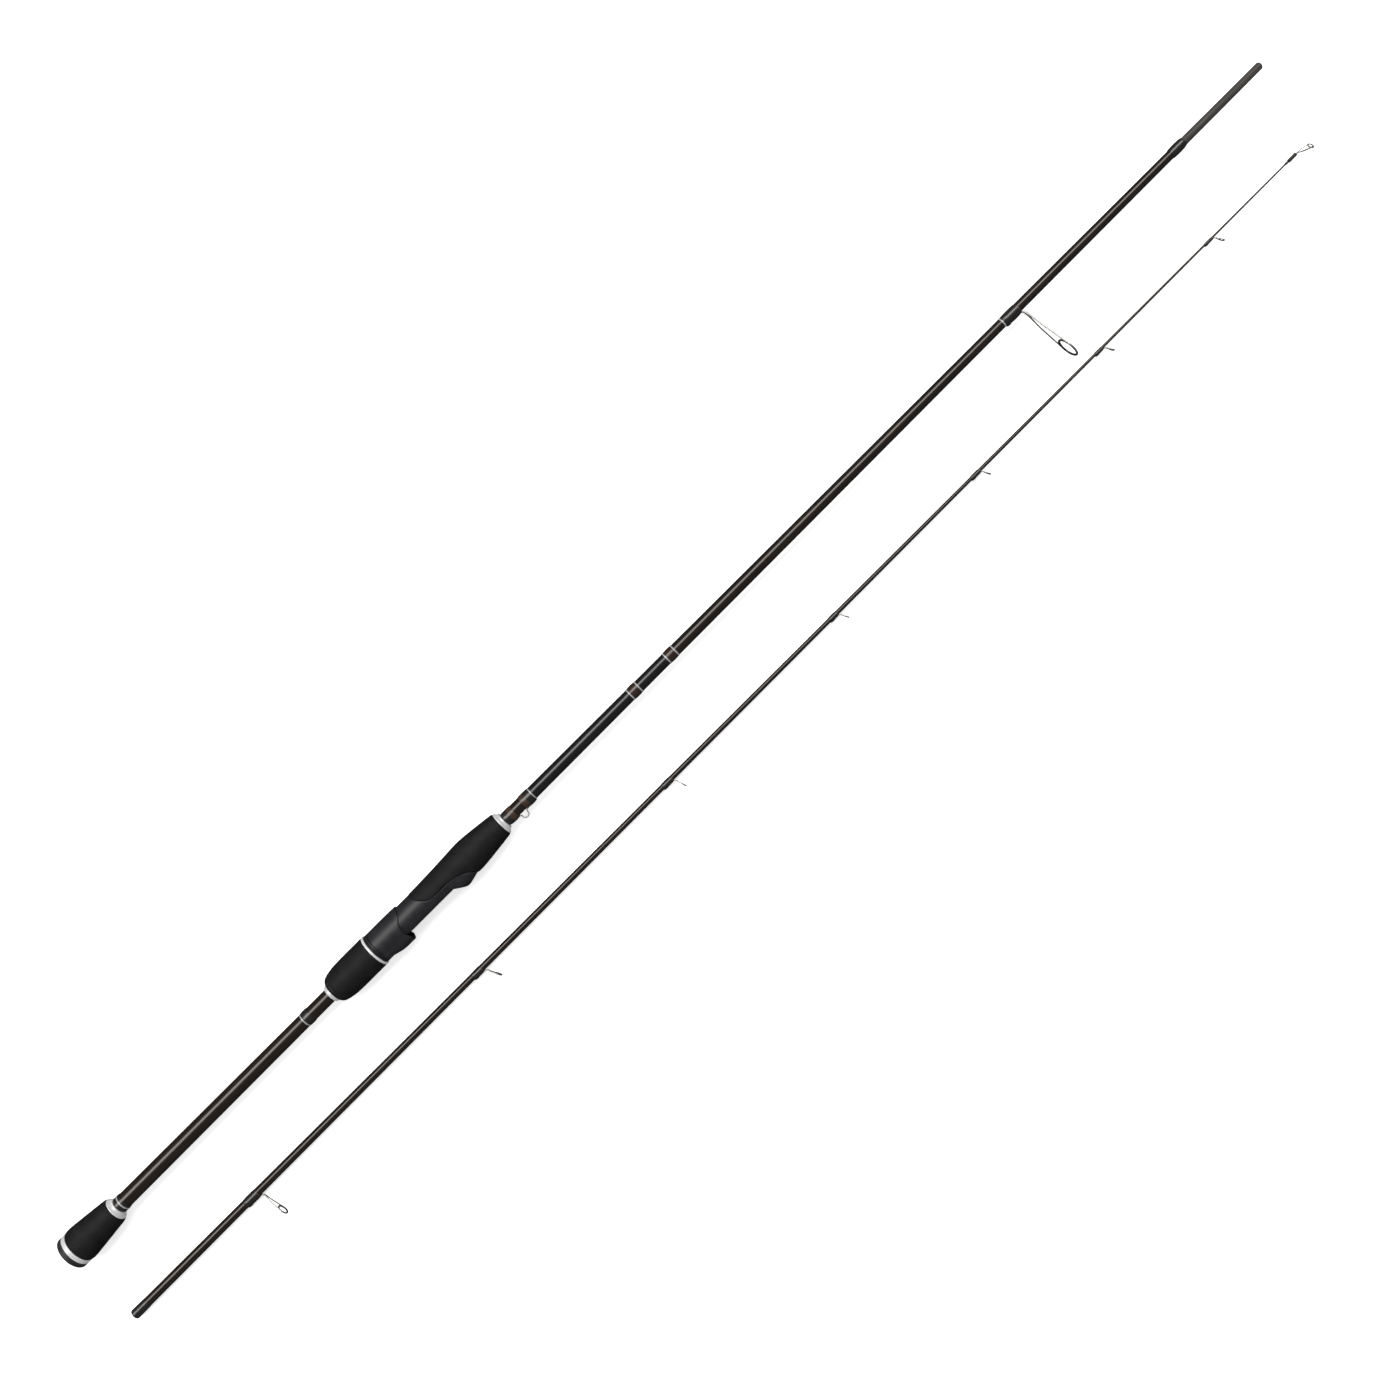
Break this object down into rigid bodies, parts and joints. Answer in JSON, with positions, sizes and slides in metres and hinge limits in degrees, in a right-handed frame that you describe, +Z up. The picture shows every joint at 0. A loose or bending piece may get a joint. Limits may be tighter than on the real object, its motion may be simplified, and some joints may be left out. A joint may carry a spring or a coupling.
{
  "type": "spinning rod",
  "caption": "Two-piece spinning rod with foam grips, a reel seat with a sliding hood, single-foot line guides and a tapered ferrule, its two sections lying side by side.",
  "frame": {"origin": "on the surface the rod lies on, under the middle of the whole object", "axes": "+X along both sections from the butt towards the tip, -Y the side the guides point to, +Z up"},
  "size_m": [1.089, 0.093, 0.0246],
  "materials": {
    "foam": "matte closed-cell foam",
    "rubber": "matte",
    "carbon": "clear-coated carbon, bare and matt on the spigot",
    "seat_plastic": "satin",
    "arbor": "matte",
    "satin_aluminium": "satin",
    "silver_thread": "lacquered metallic thread",
    "bronze_thread": "lacquered metallic thread",
    "polished_steel": "polished",
    "ring_ceramic": "polished ceramic",
    "tip_tube": "black lacquer",
    "black_thread": "lacquered thread"
  },
  "bodies": {
    "butt_section": {"butt_cap": "rubber", "butt_ring": "satin_aluminium", "butt_grip": "foam", "butt_check": "satin_aluminium", "butt_wrap": "black_thread", "butt_band": "silver_thread", "butt_blank": "carbon", "rear_wrap": "black_thread", "rear_band": "silver_thread", "reel_seat": "seat_plastic", "seat_arbors": "arbor", "foregrip": "foam", "foregrip_check": "satin_aluminium", "keeper_wrap_rear": "black_thread", "keeper_wrap_front": "black_thread", "keeper_band": "silver_thread", "hook_keeper": "polished_steel", "middle_wrap_rear": "bronze_thread", "middle_wrap_front": "bronze_thread", "middle_bands": "silver_thread", "butt_guide_frame": "polished_steel", "butt_guide_ring": "ring_ceramic", "butt_guide_wrap": "black_thread", "butt_guide_band": "silver_thread", "ferrule_wrap": "black_thread"},
    "hood": {"sliding_hood": "seat_plastic"},
    "nut": {"seat_nut": "seat_plastic", "rear_grip": "foam", "rear_check": "satin_aluminium", "nut_ring": "satin_aluminium"},
    "tip_section": {"tip_socket": "carbon", "socket_wrap": "black_thread", "tip_blank": "carbon", "tip_guide_1_frame": "polished_steel", "tip_guide_1_ring": "ring_ceramic", "tip_guide_1_wrap": "black_thread", "tip_guide_2_frame": "polished_steel", "tip_guide_2_ring": "ring_ceramic", "tip_guide_2_wrap": "black_thread", "tip_guide_3_frame": "polished_steel", "tip_guide_3_ring": "ring_ceramic", "tip_guide_3_wrap": "black_thread", "tip_guide_4_frame": "polished_steel", "tip_guide_4_ring": "ring_ceramic", "tip_guide_4_wrap": "black_thread", "tip_guide_5_frame": "polished_steel", "tip_guide_5_ring": "ring_ceramic", "tip_guide_5_wrap": "black_thread", "tip_guide_6_frame": "polished_steel", "tip_guide_6_ring": "ring_ceramic", "tip_guide_6_wrap": "black_thread", "tip_guide_7_frame": "polished_steel", "tip_guide_7_ring": "ring_ceramic", "tip_guide_7_wrap": "black_thread", "tip_top_tube": "tip_tube", "tip_top_frame": "polished_steel", "tip_top_ring": "ring_ceramic", "tip_top_wrap": "black_thread"}
  },
  "joints": [
    {"name": "hood_slide", "type": "slide", "parent": "butt_section", "child": "hood", "axis": [1, 0, 0], "range_m": [-0.008, 0.011]},
    {"name": "nut_turn", "type": "hinge", "parent": "hood", "child": "nut", "pos_m": [-0.2605, 0.03423, 0.0123], "axis": [1, 0, 0], "range_deg": [-1440, 1980]},
    {"name": "tip_section_slide", "type": "slide", "parent": "butt_section", "child": "tip_section", "axis": [1, 0, 0], "range_m": [0, 0.25]}
  ],
  "couplings": [
    {"joint": "hood_slide", "follows": "nut_turn", "m_per_rad": 0.00031831}
  ]
}
